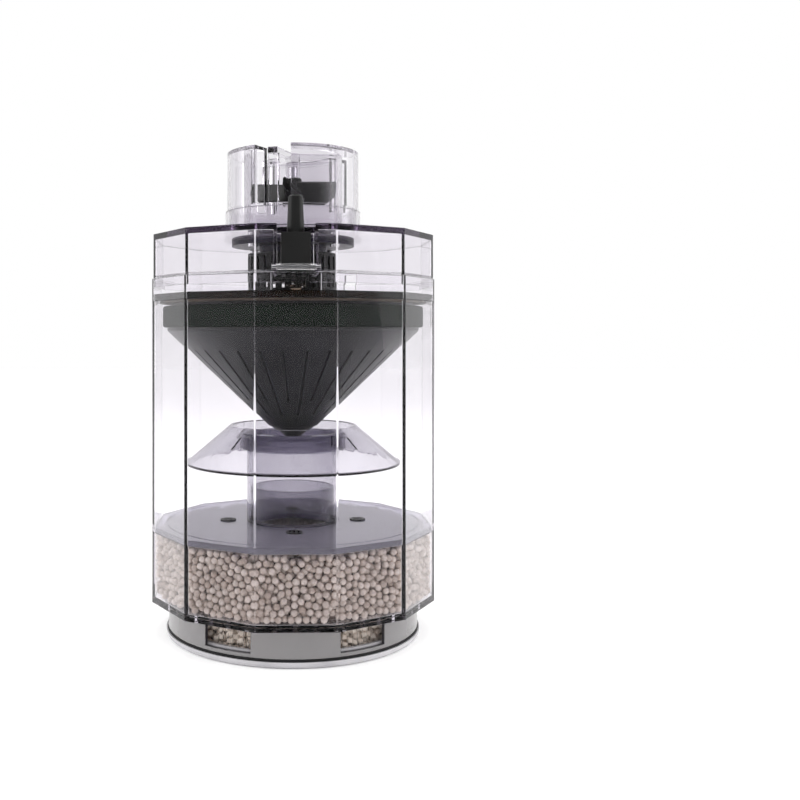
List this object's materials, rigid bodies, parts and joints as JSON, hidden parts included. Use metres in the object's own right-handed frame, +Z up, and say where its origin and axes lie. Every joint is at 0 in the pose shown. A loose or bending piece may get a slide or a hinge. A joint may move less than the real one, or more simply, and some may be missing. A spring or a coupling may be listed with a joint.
{
  "type": "canister filter",
  "caption": "Clear twelve-sided aquarium canister filter with a bead chamber, a slotted waste hopper, a pump in its lid and a swivelling outlet turret with a turning impeller.",
  "frame": {"origin": "centre of the flat underside of the base plate", "axes": "+Z up along the riser tube, -Y towards the nozzle and the front latch"},
  "size_m": [0.1546, 0.16, 0.2681],
  "materials": {
    "clear_plastic": "clear moulded plastic, polished",
    "turret_clear": "clear moulded plastic, polished",
    "grey_clear": "clear grey moulded plastic, polished",
    "smoky_plastic": "smoky translucent plastic, polished",
    "silicone": "clear silicone",
    "grey_seal": "grey rubber",
    "black_rubber": "black rubber",
    "black_plastic": "black moulded plastic, satin",
    "cone_plastic": "dark grey moulded plastic, satin",
    "sponge": "open-cell black-green filter sponge",
    "ceramic_beads": "matt fired ceramic",
    "white_ceramic": "ground white ceramic",
    "steel": "stainless steel",
    "magnet": "sintered magnet",
    "copper_coil": "enamelled copper winding"
  },
  "bodies": {
    "canister": {"canister_shell": "clear_plastic", "base_cup": "grey_clear", "base_screen": "clear_plastic", "base_beads": "ceramic_beads", "canister_beads": "ceramic_beads"},
    "bottom": {"base_plate": "grey_clear", "base_seal": "black_rubber"},
    "tray": {"tray_plate": "smoky_plastic", "tray_strainers": "smoky_plastic", "riser_socket": "smoky_plastic", "riser_tube": "smoky_plastic", "riser_collar": "smoky_plastic", "deflector_hat": "smoky_plastic"},
    "hopper": {"hopper_flange": "black_plastic", "hopper_cone": "cone_plastic", "hopper_tip": "cone_plastic", "hopper_seal": "grey_seal", "sponge_ring": "sponge"},
    "lid": {"lid_shell": "clear_plastic", "lid_gasket": "silicone", "latch_pins": "steel", "pump_housing": "black_plastic", "pump_strainer": "black_plastic", "pump_outlet": "black_plastic", "pump_screws": "steel", "pump_coil": "copper_coil", "motor_cap": "black_plastic", "shaft_bushes": "white_ceramic", "cable_gland": "black_rubber", "nozzle_block": "black_rubber", "nozzle": "black_rubber", "air_pipe": "silicone", "turret_collar": "turret_clear"},
    "front_latch": {"latch_front": "clear_plastic"},
    "rear_latch": {"latch_rear": "clear_plastic"},
    "rotor": {"rotor_shaft": "white_ceramic", "rotor_magnet": "magnet", "rotor_impeller": "black_plastic"},
    "turret": {"turret_drum": "turret_clear", "turret_duct": "turret_clear", "bearing_bridge": "turret_clear", "impeller_pin": "steel", "pin_cap": "white_ceramic"},
    "impeller": {"impeller": "black_plastic", "impeller_bush": "white_ceramic"}
  },
  "joints": [
    {"name": "bottom_twist", "type": "hinge", "parent": "canister", "child": "bottom", "pos_m": [0, 0, 0.004], "axis": [0, 0, 1], "range_deg": [0, 12]},
    {"name": "lid_lift", "type": "slide", "parent": "canister", "child": "lid", "axis": [0, 0, 1], "range_m": [0, 0.12]},
    {"name": "hopper_lift", "type": "slide", "parent": "canister", "child": "hopper", "axis": [0, 0, 1], "range_m": [0, 0.066]},
    {"name": "tray_lift", "type": "slide", "parent": "canister", "child": "tray", "axis": [0, 0, 1], "range_m": [0, 0.036]},
    {"name": "front_latch_swing", "type": "hinge", "parent": "lid", "child": "front_latch", "pos_m": [0, -0.0784, 0.1994], "axis": [-1, 0, 0], "range_deg": [0, 100]},
    {"name": "rear_latch_swing", "type": "hinge", "parent": "lid", "child": "rear_latch", "pos_m": [0, 0.0784, 0.1994], "axis": [1, 0, 0], "range_deg": [0, 100]},
    {"name": "rotor_spin", "type": "hinge", "parent": "lid", "child": "rotor", "pos_m": [0, 0, 0.205], "axis": [0, 0, 1], "continuous": true},
    {"name": "turret_swivel", "type": "hinge", "parent": "lid", "child": "turret", "pos_m": [0, 0, 0.235], "axis": [0, 0, 1], "continuous": true},
    {"name": "impeller_spin", "type": "hinge", "parent": "turret", "child": "impeller", "pos_m": [0, 0, 0.246], "axis": [0, 0, 1], "continuous": true}
  ],
  "couplings": [
    {"joint": "hopper_lift", "follows": "lid_lift", "ratio": 0.55},
    {"joint": "tray_lift", "follows": "lid_lift", "ratio": 0.3}
  ]
}
